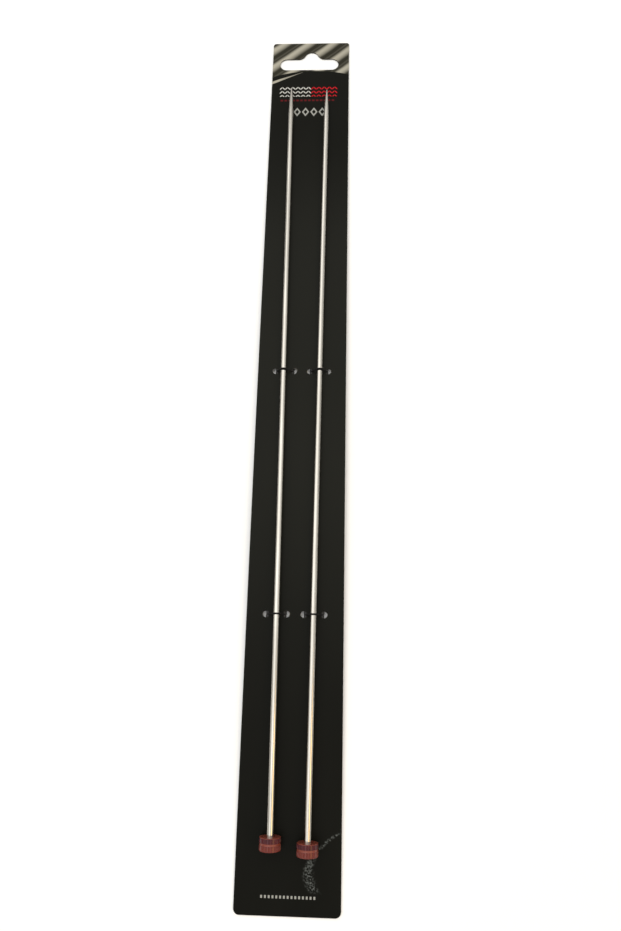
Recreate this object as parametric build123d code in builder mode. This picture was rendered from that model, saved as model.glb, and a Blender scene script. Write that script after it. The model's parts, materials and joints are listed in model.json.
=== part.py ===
from build123d import *
import os
from math import acos, atan2, cos, hypot, pi, sin

# Straight knitting needles held by elastic ties on their long display card.
# Millimetres. The card lies face up: X across it, +Y towards the hang slot and the
# needles' points, +Z up out of the front. The needles lie along its flat upper part.
# Their end caps are thicker, so below the upper ties the card bows away from them. The
# barbs of the upper ties are its feet, at Z = 0, and its ends just clear the ground.

# Display card
card_width = 45.25
card_length = 460.5
card_thickness = 0.5
bow_end_from_top = 433.0
bow_radius = 7450.0
top_corner_radius = 1.5
bottom_corner_radius = 2.5
slot_width = 34.6
slot_height = 8.1
slot_centre_x = -0.9
slot_from_top = 16.0
dome_radius = 4.2
dome_centre_x = 0.5
dome_from_top = 11.15
dome_blend_radius = 4.5
tie_hole_diameter = 3.0
tie_hole_inner_x = 4.1
tie_hole_outer_x = 13.5
upper_tie_from_top = 214.8
lower_tie_from_top = 337.1
cutter_overrun = 1.0
cutter_height = 10.0

# Elastic ties and the barbs on their ends
tie_diameter = 0.8
tie_shift_to_needle = 0.9
tie_bend_radius = 0.6
barb_diameter = 1.9
barb_length = 9.0
barb_socket_depth = 1.0
barb_gap = 0.01

# Needles
needle_length = 400.0
shaft_diameter = 3.0
tube_wall = 0.45
taper_length = 22.0
tip_radius = 0.3
spigot_length = 8.0
needle_clearance = 0.15

# End caps
cap_diameter = 9.2
cap_length = 5.3
cap_bore_depth = 4.0
cap_chamfer = 0.35
upper_band_length = 1.75
ring_length = 0.95
lower_band_length = 1.9
ring_groove_depth = 0.15
rib_count = 24
rib_groove_diameter = 0.5

# Where each needle's axis runs along the card
tip_x = {"left": -10.8, "right": 9.9}
butt_x = {"left": -7.6, "right": 8.2}
butt_from_top = {"left": 434.7, "right": 436.5}

# Derived sizes
shaft_radius = shaft_diameter / 2
bore_radius = shaft_radius - tube_wall
cap_radius = cap_diameter / 2
tie_radius = tie_diameter / 2
cap_station = needle_length - cap_length
tube_end_station = cap_station + cap_bore_depth

# The bow starts at the upper ties. Its end is this far along and below the flat part.
bow_start = upper_tie_from_top
bow_angle = (bow_end_from_top - bow_start) / bow_radius
tail_length = card_length - bow_end_from_top
end_run = bow_start + bow_radius * sin(bow_angle) + tail_length * cos(bow_angle)
end_fall = bow_radius * (1 - cos(bow_angle)) + tail_length * sin(bow_angle)

# Directions of the flat part: down the card towards the caps, and out of its face
flat_tilt = atan2(end_fall, end_run)
down_card = Vector(0, -cos(flat_tilt), sin(flat_tilt))
out_of_card = Vector(0, sin(flat_tilt), cos(flat_tilt))

# The lowest point of an upper barb is its rounded end nearer the hang slot
barb_shank = (barb_length - barb_diameter) / 2
feet_depth = barb_gap + barb_diameter + barb_shank * sin(flat_tilt)
end_height = feet_depth - upper_tie_from_top * sin(flat_tilt)
top_edge = Vector(0, hypot(end_run, end_fall) / 2, end_height)

os.makedirs("parts", exist_ok=True)


def underside(from_top):
    """Point on the card's underside, and the card's direction there, a distance down the card."""
    turned = min(max(from_top - bow_start, 0), bow_end_from_top - bow_start) / bow_radius
    straight = max(from_top - bow_end_from_top, 0)
    run = min(from_top, bow_start) + bow_radius * sin(turned) + straight * cos(turned)
    fall = bow_radius * (1 - cos(turned)) + straight * sin(turned)
    point = top_edge + down_card * run - out_of_card * fall
    along = down_card * cos(turned) - out_of_card * sin(turned)
    return point, along


def face_height(from_top):
    """Z of the card's printed face, a distance down the card."""
    return underside(from_top)[0].Z + card_thickness


def needle_line(side):
    """Tip of a needle and the unit direction of its axis, from its tip towards its cap."""
    run_x = butt_x[side] - tip_x[side]
    run_down = (needle_length**2 - run_x**2) ** 0.5
    height = card_thickness + needle_clearance + shaft_radius
    butt = top_edge + down_card * butt_from_top[side] + out_of_card * height
    along = (Vector(run_x, 0, 0) + down_card * run_down).normalized()
    tip = butt + Vector(butt_x[side], 0, 0) - along * needle_length
    return tip, along


def profile_plane(side):
    """Plane through a needle's axis: local X runs along it from the tip, local Y outwards."""
    tip, along = needle_line(side)
    across = along.cross(Vector(0, 0, 1)).normalized()
    return Plane(origin=tip, x_dir=along, z_dir=across)


def needle_axis(side):
    tip, along = needle_line(side)
    return Axis(tip, along)


def axis_at(side, y):
    """X and Z of a needle's axis where it crosses a given Y."""
    tip, along = needle_line(side)
    reach = (y - tip.Y) / along.Y
    return tip.X + along.X * reach, tip.Z + along.Z * reach


def make_card():
    """Board bowed along its length, with rounded corners, a domed hang slot and tie holes."""
    side_view = Plane(origin=top_edge, x_dir=down_card, z_dir=(-1, 0, 0))
    outer_radius = bow_radius + card_thickness
    bow_centre = (bow_start, -bow_radius)

    def on_bow(radius, angle):
        return (bow_centre[0] + radius * sin(angle), bow_centre[1] + radius * cos(angle))

    end_low = (end_run, -end_fall)
    end_high = (end_run + card_thickness * sin(bow_angle), card_thickness * cos(bow_angle) - end_fall)
    with BuildPart() as card:
        with BuildSketch(side_view):
            with BuildLine():
                Line((0, 0), (bow_start, 0))
                ThreePointArc(
                    (bow_start, 0),
                    on_bow(bow_radius, bow_angle / 2),
                    on_bow(bow_radius, bow_angle),
                )
                Polyline(on_bow(bow_radius, bow_angle), end_low, end_high, on_bow(outer_radius, bow_angle))
                ThreePointArc(
                    on_bow(outer_radius, bow_angle),
                    on_bow(outer_radius, bow_angle / 2),
                    (bow_start, card_thickness),
                )
                Polyline((bow_start, card_thickness), (0, card_thickness), (0, 0))
            make_face()
        extrude(amount=card_width / 2, both=True)
        corners = card.edges().filter_by(lambda e: e.length < 2 * card_thickness)
        fillet(corners.sort_by(Axis.Y)[-2:], top_corner_radius)
        corners = card.edges().filter_by(lambda e: e.length < 2 * card_thickness and e.center().Y < 0)
        fillet(corners, bottom_corner_radius)
        with BuildSketch(Plane.XY.offset(-cutter_overrun)) as holes:
            with Locations((slot_centre_x, top_edge.Y - slot_from_top)):
                SlotOverall(slot_width, slot_height)
            with Locations((dome_centre_x, top_edge.Y - dome_from_top)):
                Circle(dome_radius)
            shoulder_y = top_edge.Y - slot_from_top + slot_height / 2
            shoulders = holes.vertices().filter_by(
                lambda v: abs(v.Y - shoulder_y) < 0.01 and abs(v.X - dome_centre_x) < dome_radius + 1
            )
            fillet(shoulders, dome_blend_radius)
            for from_top in (upper_tie_from_top, lower_tie_from_top):
                for hole_x in (-tie_hole_outer_x, -tie_hole_inner_x, tie_hole_inner_x, tie_hole_outer_x):
                    with Locations((hole_x, underside(from_top)[0].Y)):
                        Circle(tie_hole_diameter / 2)
        extrude(amount=cutter_height, mode=Mode.SUBTRACT)
    return card


def make_point(side):
    """Solid point: rounded tip, long ogive up to the shaft, spigot inside the tube."""
    with BuildPart() as point:
        with BuildSketch(profile_plane(side)):
            with BuildLine():
                nose = RadiusArc((0, 0), (tip_radius, tip_radius), tip_radius)
                TangentArc((taper_length, shaft_radius), nose @ 1, tangent=(-1, 0))
                Polyline(
                    (taper_length, shaft_radius),
                    (taper_length, bore_radius),
                    (taper_length + spigot_length, bore_radius),
                    (taper_length + spigot_length, 0),
                    (0, 0),
                )
            make_face()
        revolve(axis=needle_axis(side))
    return point


def make_shaft(side):
    """Tube from the point's shoulder to the bottom of the cap's bore."""
    with BuildPart() as shaft:
        with BuildSketch(profile_plane(side)):
            with Locations(((taper_length + tube_end_station) / 2, (shaft_radius + bore_radius) / 2)):
                Rectangle(tube_end_station - taper_length, tube_wall)
        revolve(axis=needle_axis(side))
    return shaft


def make_cap(side):
    """End cap with a blind bore, two ribbed bands and a plain ring in a shallow neck."""
    tip, along = needle_line(side)
    first_band = cap_station + cap_chamfer
    ring_start = first_band + upper_band_length
    second_band = ring_start + ring_length
    neck_radius = cap_radius - ring_groove_depth
    end_station = cap_station + cap_length
    with BuildPart() as cap:
        with BuildSketch(profile_plane(side)):
            with BuildLine():
                Polyline(
                    (cap_station, shaft_radius),
                    (cap_station, cap_radius - cap_chamfer),
                    (first_band, cap_radius),
                    (ring_start, cap_radius),
                    (ring_start + ring_groove_depth, neck_radius),
                    (second_band - ring_groove_depth, neck_radius),
                    (second_band, cap_radius),
                    (end_station - cap_chamfer, cap_radius),
                    (end_station, cap_radius - cap_chamfer),
                    (end_station, 0),
                    (tube_end_station, 0),
                    (tube_end_station, shaft_radius),
                    (cap_station, shaft_radius),
                )
            make_face()
        revolve(axis=needle_axis(side))
        for start, length in ((first_band, upper_band_length), (second_band, lower_band_length)):
            band_plane = Plane(origin=tip + along * start, x_dir=(0, 0, 1), z_dir=along)
            with BuildSketch(band_plane):
                with PolarLocations(cap_radius, rib_count):
                    Circle(rib_groove_diameter / 2)
            extrude(amount=length, mode=Mode.SUBTRACT)
    return cap


def tangent_angle(bend, wrap, wrap_radius):
    """Angle from a bend's centre to where the straight run to the needle leaves it."""
    run_x = wrap[0] - bend[0]
    run_z = wrap[1] - bend[1]
    return atan2(run_z, run_x) + acos((tie_bend_radius - wrap_radius) / hypot(run_x, run_z))


def tie_ends(side):
    """X of the two upright runs of a tie, outer and inner, each moved towards its needle."""
    sign = -1 if side == "left" else 1
    return (
        sign * (tie_hole_outer_x - tie_shift_to_needle),
        sign * (tie_hole_inner_x + tie_shift_to_needle),
    )


def make_tie(side, from_top):
    """Elastic strand: up through one hole, snug over the needle, down through the other."""
    y = underside(from_top)[0].Y
    wrap = axis_at(side, y)
    wrap_radius = shaft_radius + needle_clearance + tie_radius
    low_x, high_x = sorted(tie_ends(side))
    face_z = face_height(from_top)
    foot_z = underside(from_top)[0].Z - barb_gap - barb_socket_depth
    section = Plane(origin=(0, y, 0), x_dir=(1, 0, 0), z_dir=(0, -1, 0))

    def on_circle(centre, radius, angle):
        return (centre[0] + radius * cos(angle), centre[1] + radius * sin(angle))

    left_bend = (low_x + tie_bend_radius, face_z)
    left_angle = tangent_angle(left_bend, wrap, wrap_radius)
    right_bend = (high_x - tie_bend_radius, face_z)
    mirrored = tangent_angle((-right_bend[0], right_bend[1]), (-wrap[0], wrap[1]), wrap_radius)
    right_angle = pi - mirrored
    left_middle = (left_angle + pi) / 2
    with BuildPart() as tie:
        with BuildLine(section) as path:
            Line((low_x, foot_z), (low_x, face_z))
            ThreePointArc(
                (low_x, face_z),
                on_circle(left_bend, tie_bend_radius, left_middle),
                on_circle(left_bend, tie_bend_radius, left_angle),
            )
            Line(
                on_circle(left_bend, tie_bend_radius, left_angle),
                on_circle(wrap, wrap_radius, left_angle),
            )
            ThreePointArc(
                on_circle(wrap, wrap_radius, left_angle),
                on_circle(wrap, wrap_radius, (left_angle + right_angle) / 2),
                on_circle(wrap, wrap_radius, right_angle),
            )
            Line(
                on_circle(wrap, wrap_radius, right_angle),
                on_circle(right_bend, tie_bend_radius, right_angle),
            )
            ThreePointArc(
                on_circle(right_bend, tie_bend_radius, right_angle),
                on_circle(right_bend, tie_bend_radius, right_angle / 2),
                (high_x, face_z),
            )
            Line((high_x, face_z), (high_x, foot_z))
        with BuildSketch(Plane(origin=(low_x, y, foot_z), x_dir=(1, 0, 0), z_dir=(0, 0, 1))):
            Circle(tie_radius)
        sweep(path=path.wire())
    return tie


def make_barb(x, from_top):
    """Round-ended bar lying along the card's back, with a socket for the tie's end."""
    touch, along = underside(from_top)
    radius = barb_diameter / 2
    inward = Vector(1, 0, 0).cross(along)
    middle = Vector(x, touch.Y, touch.Z - barb_gap - radius)
    with BuildPart() as barb:
        with BuildSketch(Plane(origin=middle, x_dir=along, z_dir=along.cross(inward))):
            with BuildLine():
                Line((-barb_shank, radius), (barb_shank, radius))
                RadiusArc((barb_shank, radius), (barb_shank + radius, 0), radius)
                Line((barb_shank + radius, 0), (-barb_shank - radius, 0))
                RadiusArc((-barb_shank - radius, 0), (-barb_shank, radius), radius)
            make_face()
        revolve(axis=Axis(middle, along))
        with BuildSketch(Plane.XY.offset(middle.Z + radius - barb_socket_depth)):
            with Locations((x, touch.Y)):
                Circle(tie_radius)
        extrude(amount=barb_diameter, mode=Mode.SUBTRACT)
    return barb


def save(piece, label):
    piece.part.label = label
    export_step(piece.part, f"parts/{label}.step")


save(make_card(), "display_card")
for side in ("left", "right"):
    save(make_point(side), f"{side}_needle_point")
    save(make_shaft(side), f"{side}_needle_shaft")
    save(make_cap(side), f"{side}_needle_cap")
    for level, from_top in (("upper", upper_tie_from_top), ("lower", lower_tie_from_top)):
        save(make_tie(side, from_top), f"tie_{level}_{side}")
        outer_x, inner_x = tie_ends(side)
        save(make_barb(outer_x, from_top), f"barb_{level}_{side}_outer")
        save(make_barb(inner_x, from_top), f"barb_{level}_{side}_inner")
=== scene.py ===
import json
import math

import bpy
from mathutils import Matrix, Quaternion, Vector, noise


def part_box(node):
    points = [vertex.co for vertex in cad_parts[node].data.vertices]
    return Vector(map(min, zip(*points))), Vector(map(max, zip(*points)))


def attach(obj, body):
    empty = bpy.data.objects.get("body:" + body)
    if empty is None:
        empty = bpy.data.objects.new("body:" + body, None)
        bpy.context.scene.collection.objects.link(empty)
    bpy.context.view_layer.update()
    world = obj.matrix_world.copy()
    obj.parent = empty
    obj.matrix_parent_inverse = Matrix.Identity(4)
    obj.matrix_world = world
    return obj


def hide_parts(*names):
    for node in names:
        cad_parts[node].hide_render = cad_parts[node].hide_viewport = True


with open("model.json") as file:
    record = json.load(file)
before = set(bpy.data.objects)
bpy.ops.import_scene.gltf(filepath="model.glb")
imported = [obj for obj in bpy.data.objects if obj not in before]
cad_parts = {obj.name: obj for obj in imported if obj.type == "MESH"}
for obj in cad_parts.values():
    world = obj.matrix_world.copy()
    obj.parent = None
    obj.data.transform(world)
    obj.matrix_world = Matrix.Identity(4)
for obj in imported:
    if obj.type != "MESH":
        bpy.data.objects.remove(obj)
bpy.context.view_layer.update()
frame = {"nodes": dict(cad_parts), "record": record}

# Straight knitting needles on their display card: metres, in the frame of the CAD.
MM = 0.001
SIDES = ("left", "right")
LEVELS = ("upper", "lower")

# Sizes the pieces share with the CAD
SHAFT_RADIUS = 1.5 * MM
NEEDLE_LENGTH = 400 * MM
TAPER_LENGTH = 22 * MM
TIP_RADIUS = 0.3 * MM
CAP_LENGTH = 5.3 * MM
CAP_BORE_DEPTH = 4.0 * MM
CAP_RADIUS = 4.6 * MM
CAP_CHAMFER = 0.35 * MM
UPPER_BAND_LENGTH = 1.75 * MM
RING_LENGTH = 0.95 * MM
LOWER_BAND_LENGTH = 1.9 * MM
NECK_DEPTH = 0.15 * MM
RIB_COUNT = 24
RIB_GROOVE_RADIUS = 0.25 * MM
NEEDLE_CLEARANCE = 0.15 * MM
TIE_RADIUS = 0.4 * MM
TIE_BEND_RADIUS = 0.6 * MM
TIE_SHIFT_TO_NEEDLE = 0.9 * MM
TIE_HOLE_RADIUS = 1.5 * MM
CARD_THICKNESS = 0.5 * MM

card_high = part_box("display_card")[1]
record = frame["record"]


def card_face(y):
    """Z of the card's printed face, on its middle line, where there is no hole."""
    above = Vector((0, y, 1))
    return frame["nodes"]["display_card"].ray_cast(above, Vector((0, 0, -1)))[1].z


# ---------------------------------------------------------------- meshes

SHARP_ANGLE = math.radians(50)


def mesh_object(name, points, faces, material, body, replaced):
    """A smooth-shaded piece that rides on a CAD body, with its sharp edges kept sharp."""
    mesh = bpy.data.meshes.new(name)
    mesh.from_pydata([tuple(p) for p in points], [], faces)
    mesh.validate()
    for polygon in mesh.polygons:
        polygon.use_smooth = True
    mesh.set_sharp_from_angle(angle=SHARP_ANGLE)
    mesh.materials.append(material)
    piece = bpy.data.objects.new(name, mesh)
    bpy.context.scene.collection.objects.link(piece)
    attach(piece, body)
    if replaced:
        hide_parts(replaced)


def tube_faces(ring_count, segments):
    """Quads between ring_count rings of segments points each."""
    faces = []
    for ring in range(ring_count - 1):
        for k in range(segments):
            here = ring * segments
            after = (k + 1) % segments
            faces.append((here + k, here + after, here + segments + after, here + segments + k))
    return faces


def closed_rings(rings, start_pole, end_pole):
    """Points and faces of a closed skin over rings, with one pole at each end."""
    segments = len(rings[0])
    points = [p for ring in rings for p in ring]
    faces = tube_faces(len(rings), segments)
    last = (len(rings) - 1) * segments
    start, end = len(points), len(points) + 1
    points += [start_pole, end_pole]
    for k in range(segments):
        after = (k + 1) % segments
        faces.append((start, after, k))
        faces.append((end, last + k, last + after))
    return points, faces


def lathe(origin, along, profile, segments, radius_at=None):
    """Closed skin turned about a line: profile is (station, radius) from start to end."""
    across = along.cross(Vector((0, 0, 1))).normalized()
    upward = across.cross(along)
    rings = []
    for station, radius in profile:
        ring = []
        for k in range(segments):
            angle = 2 * math.pi * k / segments
            reach = radius_at(station, radius, angle) if radius_at else radius
            out = across * math.cos(angle) + upward * math.sin(angle)
            ring.append(origin + along * station + out * reach)
        rings.append(ring)
    start = origin + along * profile[0][0]
    end = origin + along * profile[-1][0]
    return closed_rings(rings, start, end)


def steps(low, high, count):
    """The count + 1 values that go evenly from low to high."""
    return [low + (high - low) * k / count for k in range(count + 1)]


# ---------------------------------------------------------------- shader fields

class Field:
    """A number at every point of a surface. Arithmetic on it adds Math nodes."""

    def __init__(self, tree, socket):
        self.tree = tree
        self.socket = socket

    def math(self, operation, *others):
        node = self.tree.nodes.new("ShaderNodeMath")
        node.operation = operation
        for entry, value in zip(node.inputs, (self, *others)):
            if isinstance(value, Field):
                self.tree.links.new(value.socket, entry)
            else:
                entry.default_value = value
        return Field(self.tree, node.outputs[0])

    def __add__(self, other):
        return self.math("ADD", other)

    def __sub__(self, other):
        return self.math("SUBTRACT", other)

    def __mul__(self, other):
        return self.math("MULTIPLY", other)

    def __truediv__(self, other):
        return self.math("DIVIDE", other)

    def size(self):
        return self.math("ABSOLUTE")

    def cosine(self):
        return self.math("COSINE")

    def fraction(self):
        return self.math("FRACT")

    def squared(self):
        return self * self

    def root(self):
        return self.math("SQRT")

    def either(self, other):
        return self.math("MAXIMUM", other)

    def ramp(self, low, high, bottom=0.0, top=1.0):
        """Smooth step from bottom at low to top at high."""
        node = self.tree.nodes.new("ShaderNodeMapRange")
        node.interpolation_type = "SMOOTHSTEP"
        self.tree.links.new(self.socket, node.inputs["Value"])
        node.inputs["From Min"].default_value = low
        node.inputs["From Max"].default_value = high
        node.inputs["To Min"].default_value = bottom
        node.inputs["To Max"].default_value = top
        return Field(self.tree, node.outputs["Result"])

    def within(self, low, high, blur):
        """1 between low and high, 0 outside, with soft edges."""
        return self.ramp(low - blur, low + blur) * self.ramp(high + blur, high - blur)


def new_material(name, roughness=0.5, **constants):
    """Material with one Principled shader. Constants go straight on its sockets."""
    material = bpy.data.materials.new(name)
    material.use_nodes = True
    tree = material.node_tree
    shader = tree.nodes["Principled BSDF"]
    shader.inputs["Roughness"].default_value = roughness
    for entry, value in constants.items():
        shader.inputs[entry.replace("_", " ")].default_value = value
    return material, tree, shader


def place(tree):
    """X and Y of the surface in millimetres, in the frame of the CAD."""
    coordinate = tree.nodes.new("ShaderNodeTexCoord")
    split = tree.nodes.new("ShaderNodeSeparateXYZ")
    tree.links.new(coordinate.outputs["Object"], split.inputs[0])
    return tuple(Field(tree, split.outputs[k]) * (1 / MM) for k in range(2))


def upwardness(tree):
    """Z of the surface normal."""
    geometry = tree.nodes.new("ShaderNodeNewGeometry")
    split = tree.nodes.new("ShaderNodeSeparateXYZ")
    tree.links.new(geometry.outputs["Normal"], split.inputs[0])
    return Field(tree, split.outputs[2])


def grain(tree, stretch, detail=3.0):
    """Noise from 0 to 1. stretch is the number of grains to the millimetre in X, Y and Z."""
    coordinate = tree.nodes.new("ShaderNodeTexCoord")
    mapping = tree.nodes.new("ShaderNodeMapping")
    texture = tree.nodes.new("ShaderNodeTexNoise")
    mapping.inputs["Scale"].default_value = [s / MM for s in stretch]
    texture.inputs["Scale"].default_value = 1.0
    texture.inputs["Detail"].default_value = detail
    tree.links.new(coordinate.outputs["Object"], mapping.inputs["Vector"])
    tree.links.new(mapping.outputs["Vector"], texture.inputs["Vector"])
    return Field(tree, texture.outputs[0])


def mixed(tree, amount, below, above):
    """Colour that goes from below to above with amount. A colour is three numbers or a socket."""
    node = tree.nodes.new("ShaderNodeMix")
    node.data_type = "RGBA"
    tree.links.new(amount.socket, node.inputs["Factor"])
    for entry, colour in ((node.inputs[6], below), (node.inputs[7], above)):
        if isinstance(colour, tuple):
            entry.default_value = (*colour, 1.0)
        else:
            tree.links.new(colour, entry)
    return node.outputs[2]


def emboss(tree, shader, height, depth):
    """Bump from a height field, depth in metres."""
    node = tree.nodes.new("ShaderNodeBump")
    node.inputs["Distance"].default_value = depth
    tree.links.new(height.socket, node.inputs["Height"])
    tree.links.new(node.outputs["Normal"], shader.inputs["Normal"])


def connect(tree, value, entry):
    """Links a field or a socket to a shader's entry."""
    tree.links.new(value.socket if isinstance(value, Field) else value, entry)


# ---------------------------------------------------------------- card

# Places on the printed front are in millimetres: X from the card's middle line, and the
# distance down from its top edge.
CHEVRON_LEFT, CHEVRON_RIGHT = -17.9, 15.98
CHEVRON_TOP, CHEVRON_FOOT = 32.3, 39.6
CHEVRON_COLOUR_CHANGE = 0.5
STRAP_LINE_LEFT, STRAP_LINE_RIGHT, STRAP_LINE_DOWN = -17.3, 14.9, 42.4
DIAMOND_LEFT, DIAMOND_RIGHT, DIAMOND_DOWN = -9.6, 9.8, 50.7
FOOT_LINE_LEFT, FOOT_LINE_RIGHT, FOOT_LINE_DOWN = -11.5, 12.4, 453.3
# Middle of the crease beside the right cap, where a highlight is painted in.
GLINT_X, GLINT_DOWN = 8.6, 444.0

BLACK_INK = (0.0050, 0.0050, 0.0034)
RUBBED_INK = (0.0125, 0.0128, 0.0100)
BOARD_BACK = (0.055, 0.052, 0.046)
BOARD_CORE = (0.060, 0.057, 0.048)
SILVER_DARK = (0.030, 0.028, 0.019)
SILVER_LIGHT = (0.40, 0.375, 0.30)
PRINT_WHITE = (0.66, 0.65, 0.60)
PRINT_RED = (0.62, 0.010, 0.018)
PRINT_DIM_RED = (0.10, 0.007, 0.009)
PRINT_GREY = (0.33, 0.33, 0.30)
# Pale grey of the painted highlight along that crease.
GLINT_GREY = (0.15, 0.165, 0.155)


def silver_art(x, down):
    """Satin silver artwork above an arc, and the thin stripe that runs out below its left side."""
    arc_x, arc_top, arc_radius = 2.2, 20.8, 72.6
    reach = ((x - arc_x).squared() + (down - (arc_top + arc_radius)).squared()).root()
    field_foot = 40.0
    field = reach.ramp(arc_radius - 0.08, arc_radius + 0.08) * down.ramp(field_foot + 1, field_foot)
    stripe_start, stripe_end, stripe_down, fall = -22.75, -4.2, 29.4, -0.425
    from_start = x - stripe_start
    run = (from_start / 18.6).ramp(0.0, 1.0)
    middle = from_start * fall + stripe_down
    half_width = run * -0.85 + 0.95
    stripe = (half_width - (down - middle).size()).ramp(-0.12, 0.12)
    stripe = stripe * x.ramp(stripe_end, stripe_end - 0.8)
    return field, stripe


def silver_sheen(tree, x, down):
    """Diagonal bands of light and dark in the artwork."""
    period = 9.6
    slant = x * 0.65 + down * 0.76
    drift = grain(tree, (0.05, 0.05, 0.05), 2.0) * 1.6
    phase = (slant + drift) * (2 * math.pi / period)
    bands = phase.cosine().ramp(-0.5, 1.15)
    fine = (phase * 3.0 + 1.1).cosine() * 0.10
    return bands + fine


def chevrons(x, down):
    """Rows of knitted stitches: a V in every column."""
    column, row, slope, half_stroke = 3.08, 2.85, 1.05, 0.13
    leaf = ((x - CHEVRON_LEFT) / column).fraction() - 0.5
    lift = (down - leaf.size() * (column * slope)) / row
    stroke = ((lift.fraction() - 0.5).size() * -1 + half_stroke).ramp(-0.06, 0.06)
    gap = (leaf.size() * -1 + 0.46).ramp(-0.02, 0.02) * leaf.size().ramp(0.03, 0.07)
    block = x.within(CHEVRON_LEFT, CHEVRON_RIGHT, 0.05) * down.within(CHEVRON_TOP, CHEVRON_FOOT, 0.1)
    return stroke * gap * block


def diamonds(x, down):
    """A short row of open diamonds."""
    pitch, half_width, half_height = 4.85, 2.1, 3.1
    across = (((x - DIAMOND_LEFT) / pitch).fraction() - 0.5) * pitch
    reach = across.size() / half_width + (down - DIAMOND_DOWN).size() / half_height
    return reach.within(0.55, 1.0, 0.04) * x.within(DIAMOND_LEFT, DIAMOND_RIGHT, 0.03)


def dashes(x, down, first, last, middle, height, pitch, share):
    """A dashed line across the card. Each dash ends at that share of the pitch."""
    on = ((x - first) / pitch).fraction().within(0.06, share, 0.04)
    line = (down - middle).size().ramp(height / 2 + 0.08, height / 2 - 0.08)
    return on * line * x.within(first, last, 0.05)


def crease_glint(tree, x, down):
    """Curved crease beside the right cap, as a mask: its pale glint is a painted highlight."""
    curve = 0.052
    bend = (down - GLINT_DOWN).squared() * curve + GLINT_X
    width = down.ramp(432.0, 446.0, 1.4, 3.2)
    near = ((x - bend).size() / width).ramp(1.0, 0.2)
    patches = grain(tree, (1.3, 1.3, 1.3), 6.0).ramp(0.44, 0.70)
    return near * patches * down.within(428.5, 451.0, 1.2)


def bare_edges(tree, x, down):
    """Paper showing where the tie holes were punched through the ink."""
    rims = None
    wear_and_glint = grain(tree, (1.6, 1.6, 1.6), 4.0).ramp(0.42, 0.66)
    for centre_x, centre_y in tie_holes():
        across = (x - centre_x / MM).squared()
        along = (down - (card_high.y - centre_y) / MM).squared()
        hole = TIE_HOLE_RADIUS / MM
        rim = (across + along).root().ramp(hole + 0.28, hole + 0.06)
        rims = rims.either(rim) if rims else rim
    return rims * wear_and_glint


def card_material():
    """Satin black laminate printed in silver, white, red and grey, with a plain dark back."""
    material, tree, shader = new_material("card_laminate", Specular_IOR_Level=0.05)
    x, y = place(tree)
    down = y * -1 + card_high.y / MM
    facing = upwardness(tree)
    art, stripe = silver_art(x, down)
    silver = art.either(stripe)
    sheen = silver_sheen(tree, x, down).either(stripe * 0.75)
    clouds = grain(tree, (0.03, 0.012, 0.03), 3.0)
    fibres = grain(tree, (2.2, 0.7, 2.2), 4.0)
    handled = down.ramp(60.0, 150.0) * down.ramp(400.0, 250.0)
    ink = mixed(tree, handled * 0.8 + clouds.ramp(0.3, 0.7, 0.0, 0.2), BLACK_INK, RUBBED_INK)
    colour = mixed(tree, silver, ink, mixed(tree, sheen, SILVER_DARK, SILVER_LIGHT))
    change = CHEVRON_COLOUR_CHANGE
    knitting = mixed(tree, x.ramp(change - 0.1, change + 0.1), PRINT_WHITE, PRINT_RED)
    colour = mixed(tree, chevrons(x, down), colour, knitting)
    strap_line = dashes(x, down, STRAP_LINE_LEFT, STRAP_LINE_RIGHT, STRAP_LINE_DOWN, 1.2, 2.3, 0.72)
    colour = mixed(tree, strap_line, colour, PRINT_DIM_RED)
    colour = mixed(tree, diamonds(x, down), colour, PRINT_GREY)
    foot_line = dashes(x, down, FOOT_LINE_LEFT, FOOT_LINE_RIGHT, FOOT_LINE_DOWN, 1.1, 1.6, 0.55)
    colour = mixed(tree, foot_line, colour, PRINT_GREY)
    # Painted highlight: a pale grey glint painted along the crease. The same mask also roughens and
    # bumps the laminate.
    wear_and_glint = crease_glint(tree, x, down)
    colour = mixed(tree, wear_and_glint * 0.75, colour, GLINT_GREY)
    colour = mixed(tree, bare_edges(tree, x, down) * 0.5, colour, BOARD_CORE)
    core = mixed(tree, fibres, tuple(0.6 * c for c in BOARD_CORE), BOARD_CORE)
    back = mixed(tree, fibres, BOARD_BACK, tuple(1.4 * c for c in BOARD_BACK))
    unprinted = mixed(tree, facing.ramp(-0.4, -0.5), core, back)
    colour = mixed(tree, facing.ramp(0.4, 0.5), unprinted, colour)
    connect(tree, colour, shader.inputs["Base Color"])
    gloss = clouds.ramp(0.3, 0.7, 0.34, 0.44) + wear_and_glint * 0.15 + facing.ramp(0.5, 0.4, 0.0, 0.35)
    connect(tree, gloss, shader.inputs["Roughness"])
    connect(tree, silver * facing.ramp(0.4, 0.5) * 0.55, shader.inputs["Metallic"])
    peel = grain(tree, (0.9, 0.9, 0.9), 2.0)
    emboss(tree, shader, peel + wear_and_glint * 1.5 + fibres * 0.25, 0.006 * MM)
    return material


def tie_holes():
    """X and Y of the middle of each tie hole, from the ties that run through them."""
    holes = []
    for level in LEVELS:
        for side in SIDES:
            low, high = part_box(f"tie_{level}_{side}")
            middle_y = (low.y + high.y) / 2
            holes.append((low.x + TIE_RADIUS - TIE_SHIFT_TO_NEEDLE, middle_y))
            holes.append((high.x - TIE_RADIUS + TIE_SHIFT_TO_NEEDLE, middle_y))
    return holes


def paper_material():
    """Bare fibrous board."""
    material, tree, shader = new_material("torn_paper", roughness=0.9)
    fibres = grain(tree, (5.0, 5.0, 5.0), 4.0)
    colour = mixed(tree, fibres.ramp(0.35, 0.65), (0.015, 0.014, 0.012), (0.16, 0.15, 0.13))
    connect(tree, colour, shader.inputs["Base Color"])
    emboss(tree, shader, fibres, 0.05 * MM)
    return material


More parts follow.
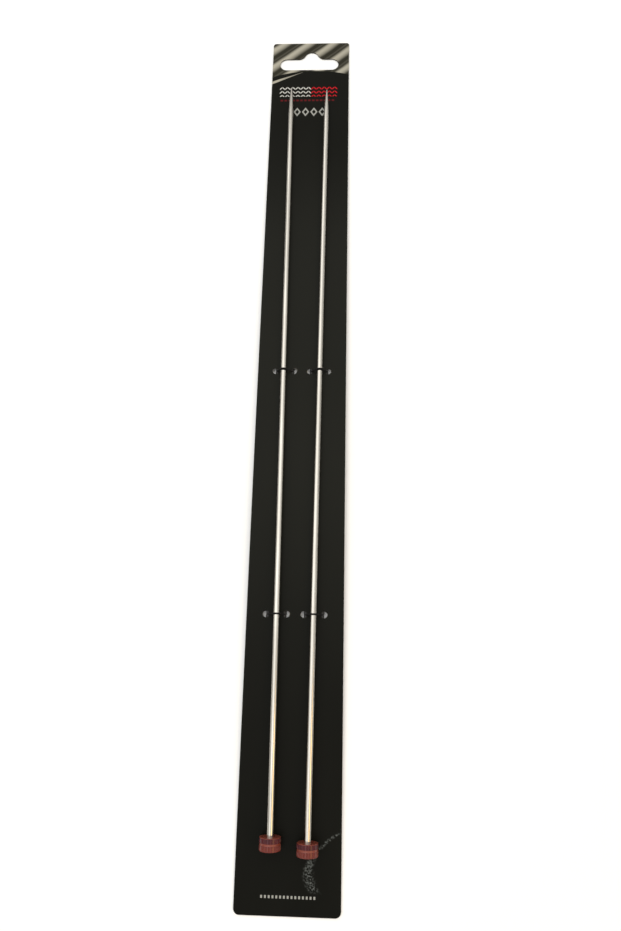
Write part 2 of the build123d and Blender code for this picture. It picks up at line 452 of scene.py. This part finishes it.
def torn_rim(name, centre, facing, spread, width, material):
    """Sliver of board lifted round part of a tie hole: a low crescent with a ragged outer edge."""
    count = 28
    rings = []
    for k in range(count + 1):
        share = k / count
        angle = math.radians(facing + spread * (share - 0.5))
        swell = math.sin(math.pi * share) ** 0.7
        ragged = 1 + 0.55 * noise.noise(Vector((centre[0] / MM + 7 * share, centre[1] / MM, facing)))
        out = Vector((math.cos(angle), math.sin(angle), 0))
        middle = Vector((centre[0], centre[1], card_face(centre[1])))
        thick = (0.02 + 0.13 * swell * ragged) * MM
        inner = TIE_HOLE_RADIUS - 0.02 * MM
        outer = TIE_HOLE_RADIUS + (0.03 + width * swell * ragged) * MM
        sunk = Vector((0, 0, -0.05 * MM))
        lifted = Vector((0, 0, thick))
        half = (inner * 0.45 + outer * 0.55)
        rings.append([
            middle + out * inner + sunk,
            middle + out * outer + sunk,
            middle + out * half + lifted * 0.7,
            middle + out * inner + lifted,
        ])
    start = sum(rings[0], Vector()) / 4
    end = sum(rings[-1], Vector()) / 4
    points, faces = closed_rings(rings, start, end)
    mesh_object(name, points, faces, material, "card", None)


def dress_card():
    """Laminate on the card, and a torn rim at each tie hole, each a little different."""
    frame["nodes"]["display_card"].data.materials.clear()
    frame["nodes"]["display_card"].data.materials.append(card_material())
    paper = paper_material()
    turns = (175, 40, 200, 350, 205, 10, 215, 320)
    spreads = (120, 110, 80, 130, 110, 140, 90, 150)
    widths = (0.10, 0.42, 0.05, 0.14, 0.10, 0.30, 0.05, 0.12)
    for k, centre in enumerate(tie_holes()):
        torn_rim(f"torn_rim_{k + 1}", centre, turns[k], spreads[k], widths[k], paper)


# ---------------------------------------------------------------- needles

def needle_line(side):
    """Tip of a needle and the direction from it to the cap."""
    mount = next(m for m in record["mounts"] if m["name"] == f"{side}_cap_end")
    along = Vector(mount["axis"]).normalized()
    return Vector(mount["pos_m"]) - along * NEEDLE_LENGTH, along


def nickel_material():
    """Polished nickel with faint drawing lines along it and a little haze."""
    material, tree, shader = new_material("polished_nickel", Metallic=1.0)
    tone = grain(tree, (0.25, 0.02, 0.25), 3.0)
    drawn = grain(tree, (9.0, 0.03, 9.0), 3.0)
    haze = grain(tree, (0.5, 0.5, 0.5), 4.0)
    colour = mixed(tree, tone.ramp(0.3, 0.7), (0.50, 0.475, 0.425), (0.64, 0.61, 0.55))
    connect(tree, colour, shader.inputs["Base Color"])
    connect(tree, haze.ramp(0.35, 0.75, 0.13, 0.21) + drawn * 0.04, shader.inputs["Roughness"])
    emboss(tree, shader, drawn, 0.004 * MM)
    return material


def plastic_material(side):
    """Wine-red plastic, paler on the ring, with a painted highlight on the face round the shaft."""
    name = f"{side}_cap_plastic"
    gloss = {"Specular_IOR_Level": 0.25, "Coat_Weight": 0.15, "Coat_Roughness": 0.1}
    material, tree, shader = new_material(name, **gloss)
    tip, along = needle_line(side)
    mouth = (tip + along * (NEEDLE_LENGTH - CAP_LENGTH)).y / MM
    station = place(tree)[1] * -1 + mouth
    ring_start = (CAP_CHAMFER + UPPER_BAND_LENGTH) / MM
    ring_end = ring_start + RING_LENGTH / MM
    swirl = grain(tree, (0.35, 0.35, 0.35), 4.0)
    fine = grain(tree, (4.0, 4.0, 4.0), 2.0)
    colour = mixed(tree, swirl.ramp(0.3, 0.7), (0.050, 0.005, 0.010), (0.085, 0.010, 0.013))
    colour = mixed(tree, station.ramp(ring_end - 0.1, ring_end + 0.3), colour, (0.150, 0.026, 0.018))
    # Painted highlight: the face round the shaft and its chamfer are painted paler where light falls on
    # them. The ring is paler too.
    pale = station.within(ring_start, ring_end, 0.12).either(station.ramp(0.30, 0.10))
    colour = mixed(tree, pale, colour, (0.200, 0.045, 0.028))
    connect(tree, colour, shader.inputs["Base Color"])
    connect(tree, fine.ramp(0.3, 0.7, 0.24, 0.36), shader.inputs["Roughness"])
    emboss(tree, shader, fine, 0.006 * MM)
    return material


def point_profile():
    """Rounded tip, then one long arc that meets the shaft without an edge."""
    run = TAPER_LENGTH - TIP_RADIUS
    rise = SHAFT_RADIUS - TIP_RADIUS
    arc_radius = (run**2 + rise**2) / (2 * rise)
    profile = []
    for turn in steps(8, 82, 10):
        angle = math.radians(turn)
        profile.append((TIP_RADIUS * (1 - math.cos(angle)), TIP_RADIUS * math.sin(angle)))
    for station in steps(TIP_RADIUS, TAPER_LENGTH, 60):
        radius = SHAFT_RADIUS - arc_radius + math.sqrt(arc_radius**2 - (TAPER_LENGTH - station) ** 2)
        profile.append((station, radius))
    return profile


def cap_bands():
    """Stations where the upper band, the ring and the lower band start, and where the last ends."""
    first_band = CAP_CHAMFER
    ring_start = first_band + UPPER_BAND_LENGTH
    second_band = ring_start + RING_LENGTH
    return first_band, ring_start, second_band, second_band + LOWER_BAND_LENGTH


def cap_profile():
    """Outline of a cap from its mouth round its outside to the middle of its end."""
    first_band, ring_start, second_band, end_band = cap_bands()
    neck = CAP_RADIUS - NECK_DEPTH
    profile = [(0.0, SHAFT_RADIUS), (0.0, 2.4 * MM), (0.0, 3.6 * MM), (0.0, CAP_RADIUS - CAP_CHAMFER)]
    for turn in steps(15, 90, 5):
        angle = math.radians(turn)
        inset = CAP_CHAMFER * (1 - math.sin(angle))
        profile.append((CAP_CHAMFER * (1 - math.cos(angle)), CAP_RADIUS - inset))
    profile += [(s, CAP_RADIUS) for s in steps(first_band, ring_start, 20)[1:]]
    profile += [(ring_start + NECK_DEPTH, neck)]
    profile += [(s, neck) for s in steps(ring_start + NECK_DEPTH, second_band - NECK_DEPTH, 4)[1:]]
    profile += [(s, CAP_RADIUS) for s in steps(second_band, end_band, 20)]
    last_radius = CAP_LENGTH - end_band
    for turn in steps(15, 90, 5):
        angle = math.radians(turn)
        inset = last_radius * (1 - math.cos(angle))
        profile.append((end_band + last_radius * math.sin(angle), CAP_RADIUS - inset))
    profile += [(CAP_LENGTH, 3.0 * MM), (CAP_LENGTH, 1.2 * MM)]
    return profile


def ribbed(station, radius, angle):
    """Radius of a cap with the grooves between its ribs cut in. They fade out at a band's ends."""
    first_band, ring_start, second_band, end_band = cap_bands()
    turn = angle * RIB_COUNT / (2 * math.pi)
    across = abs(turn - round(turn)) * 2 * math.pi * CAP_RADIUS / RIB_COUNT
    if across >= RIB_GROOVE_RADIUS:
        return radius
    depth = math.sqrt(RIB_GROOVE_RADIUS**2 - across**2)
    for low, high in ((first_band, ring_start), (second_band, end_band)):
        if low <= station <= high:
            runout = min(station - low, high - station) / (0.25 * MM)
            return radius - depth * min(1.0, max(0.0, runout)) ** 0.5
    return radius


def make_needle(side, nickel, plastic):
    """Point, shaft and cap of one needle."""
    tip, along = needle_line(side)
    body = f"{side}_needle"
    points, faces = lathe(tip, along, point_profile(), 96)
    mesh_object(f"{side}_point", points, faces, nickel, body, f"{side}_needle_point")
    cap_station = NEEDLE_LENGTH - CAP_LENGTH
    stations = steps(TAPER_LENGTH, cap_station + CAP_BORE_DEPTH, 40)
    points, faces = lathe(tip, along, [(s, SHAFT_RADIUS) for s in stations], 96)
    mesh_object(f"{side}_shaft", points, faces, nickel, body, f"{side}_needle_shaft")
    points_to_a_rib = 14
    mouth = tip + along * cap_station
    points, faces = lathe(mouth, along, cap_profile(), RIB_COUNT * points_to_a_rib, ribbed)
    mesh_object(f"{side}_cap", points, faces, plastic, body, f"{side}_needle_cap")


# ---------------------------------------------------------------- ties and barbs

def elastic_material():
    """Matt black elastic."""
    material, tree, shader = new_material("black_elastic", roughness=0.85, Specular_IOR_Level=0.2)
    fibres = grain(tree, (6.0, 6.0, 6.0), 3.0)
    colour = mixed(tree, fibres.ramp(0.35, 0.65), (0.004, 0.004, 0.004), (0.016, 0.015, 0.014))
    connect(tree, colour, shader.inputs["Base Color"])
    connect(tree, fibres.ramp(0.3, 0.7, 0.75, 0.95), shader.inputs["Roughness"])
    emboss(tree, shader, fibres, 0.02 * MM)
    return material


def barb_material():
    """Moulded black plastic."""
    material, tree, shader = new_material("barb_plastic")
    speck = grain(tree, (1.5, 1.5, 1.5), 4.0)
    colour = mixed(tree, speck.ramp(0.3, 0.7), (0.010, 0.010, 0.010), (0.022, 0.021, 0.020))
    connect(tree, colour, shader.inputs["Base Color"])
    connect(tree, speck.ramp(0.3, 0.7, 0.38, 0.55), shader.inputs["Roughness"])
    emboss(tree, shader, speck, 0.01 * MM)
    return material


def tangent_angle(bend, wrap, wrap_radius):
    """Angle from a bend's centre to where the straight run to the needle leaves it."""
    run = wrap - bend
    return math.atan2(run.z, run.x) + math.acos((TIE_BEND_RADIUS - wrap_radius) / run.length)


def arc(centre, radius, start, end, count):
    """Points on an arc in a plane across the card."""
    out = []
    for angle in steps(start, end, count):
        out.append(centre + Vector((math.cos(angle), 0, math.sin(angle))) * radius)
    return out


def tie_path(level, side):
    """Middle of a tie: up through one hole, snug over the needle, down through the other."""
    low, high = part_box(f"tie_{level}_{side}")
    y = (low.y + high.y) / 2
    tip, along = needle_line(side)
    wrap = tip + along * ((y - tip.y) / along.y)
    wrap_radius = SHAFT_RADIUS + NEEDLE_CLEARANCE + TIE_RADIUS
    left_x, right_x = low.x + TIE_RADIUS, high.x - TIE_RADIUS
    left_bend = Vector((left_x + TIE_BEND_RADIUS, y, card_face(y)))
    right_bend = Vector((right_x - TIE_BEND_RADIUS, y, card_face(y)))
    left_angle = tangent_angle(left_bend, wrap, wrap_radius)
    flip = Vector((-1, 1, 1))
    right_angle = math.pi - tangent_angle(right_bend * flip, wrap * flip, wrap_radius)
    path = [Vector((left_x, y, low.z))]
    path += arc(left_bend, TIE_BEND_RADIUS, math.pi, left_angle, 8)
    path += arc(wrap, wrap_radius, left_angle, right_angle, 32)
    path += arc(right_bend, TIE_BEND_RADIUS, right_angle, 0, 8)
    path.append(Vector((right_x, y, low.z)))
    return path


def evenly(path, gap):
    """Points about gap apart along a path of straight runs."""
    out = []
    for here, there in zip(path, path[1:]):
        count = max(1, round((there - here).length / gap))
        out += [here.lerp(there, k / count) for k in range(count)]
    return out + [path[-1]]


def braided(level, side, material):
    """Tie with the raised crossings of a braid, inside the CAD tie's radius."""
    path = evenly(tie_path(level, side), 0.07 * MM)
    segments, strands, pitch, braid_depth = 32, 4, 1.9 * MM, 0.16
    run = 0.0
    rings = []
    for k, here in enumerate(path):
        before, after = path[max(k - 1, 0)], path[min(k + 1, len(path) - 1)]
        run += (here - before).length
        ahead = (after - before).normalized()
        sideways = Vector((0, 1, 0))
        outward = ahead.cross(sideways)
        ring = []
        for j in range(segments):
            angle = 2 * math.pi * j / segments
            twist = 2 * math.pi * run / pitch
            turn = strands / 2 * angle
            crossing = max(abs(math.sin(turn + twist)), abs(math.sin(turn - twist)))
            reach = TIE_RADIUS * (1 - braid_depth + braid_depth * crossing)
            ring.append(here + (sideways * math.cos(angle) + outward * math.sin(angle)) * reach)
        rings.append(ring)
    points, faces = closed_rings(rings, path[0], path[-1])
    name = f"tie_{level}_{side}"
    mesh_object(f"braid_{level}_{side}", points, faces, material, "card", name)


def make_ties():
    """Braided skins for the ties, and plastic on the barbs."""
    elastic = elastic_material()
    barb = barb_material()
    for level in LEVELS:
        for side in SIDES:
            braided(level, side, elastic)
            for end in ("outer", "inner"):
                node = frame["nodes"][f"barb_{level}_{side}_{end}"]
                node.data.materials.clear()
                node.data.materials.append(barb)


# ---------------------------------------------------------------- stage, light, camera

def make_floor():
    """Plain pale floor under the card."""
    half = 4.0
    corners = [(-half, -half, 0), (half, -half, 0), (half, half, 0), (-half, half, 0)]
    mesh = bpy.data.meshes.new("floor")
    mesh.from_pydata(corners, [], [(0, 1, 2, 3)])
    floor = bpy.data.objects.new("floor", mesh)
    bpy.context.scene.collection.objects.link(floor)
    material, _, shader = new_material("pale_floor", roughness=0.8, Specular_IOR_Level=0.1)
    shader.inputs["Base Color"].default_value = (0.93, 0.93, 0.92, 1)
    mesh.materials.append(material)


def area_light(name, place_at, aim, size, power, colour):
    """Rectangular light at place_at that faces aim."""
    lamp = bpy.data.lights.new(name, "AREA")
    lamp.shape = "RECTANGLE"
    lamp.size, lamp.size_y = size
    lamp.energy = power
    lamp.color = colour
    holder = bpy.data.objects.new(name, lamp)
    bpy.context.scene.collection.objects.link(holder)
    holder.location = place_at
    holder.rotation_euler = (Vector(aim) - Vector(place_at)).to_track_quat("-Z", "Y").to_euler()


def make_lights():
    """Sky that is bright overhead and dim low down, pale where the camera sees it, and two lights."""
    world = bpy.data.worlds.new("studio")
    world.use_nodes = True
    tree = world.node_tree
    coordinate = tree.nodes.new("ShaderNodeTexCoord")
    split = tree.nodes.new("ShaderNodeSeparateXYZ")
    tree.links.new(coordinate.outputs["Generated"], split.inputs[0])
    sky = Field(tree, split.outputs[2]).ramp(0.10, 0.50, 0.10, 0.95)
    seen = Field(tree, tree.nodes.new("ShaderNodeLightPath").outputs["Is Camera Ray"])
    background = tree.nodes["Background"]
    background.inputs["Color"].default_value = (1.0, 0.99, 0.97, 1)
    tree.links.new(sky.either(seen).socket, background.inputs["Strength"])
    bpy.context.scene.world = world
    area_light(
        "overhead",
        place_at=(-0.35, 0.25, 1.1),
        aim=(0, 0, 0),
        size=(1.5, 1.5),
        power=6.5,
        colour=(1.0, 0.99, 0.97),
    )
    area_light(
        "warm_side",
        place_at=(0.42, -0.29, 0.46),
        aim=(0, -0.29, 0),
        size=(0.24, 0.24),
        power=0.5,
        colour=(1.0, 0.55, 0.06),
    )


def make_camera():
    """Camera above the card and towards its foot, turned a little about its own line of sight."""
    face_at_ends = Vector((0, 0, CARD_THICKNESS))
    place_at = face_at_ends + Vector((19.81, -128.05, 326.12)) * MM
    aim = face_at_ends + Vector((5.45, -34.29, 0)) * MM
    roll = math.radians(-7.7)
    lens = bpy.data.cameras.new("camera")
    lens.sensor_width = 36
    lens.lens = 26.49
    lens.clip_start, lens.clip_end = 0.005, 20
    camera = bpy.data.objects.new("camera", lens)
    bpy.context.scene.collection.objects.link(camera)
    camera.location = place_at
    camera.rotation_mode = "QUATERNION"
    camera.rotation_quaternion = (aim - place_at).to_track_quat("-Z", "Y") @ Quaternion((0, 0, 1), roll)
    bpy.context.scene.camera = camera


dress_card()
nickel = nickel_material()
for side in SIDES:
    make_needle(side, nickel, plastic_material(side))
make_ties()
make_floor()
make_lights()
make_camera()
bpy.context.scene.view_settings.view_transform = "Standard"
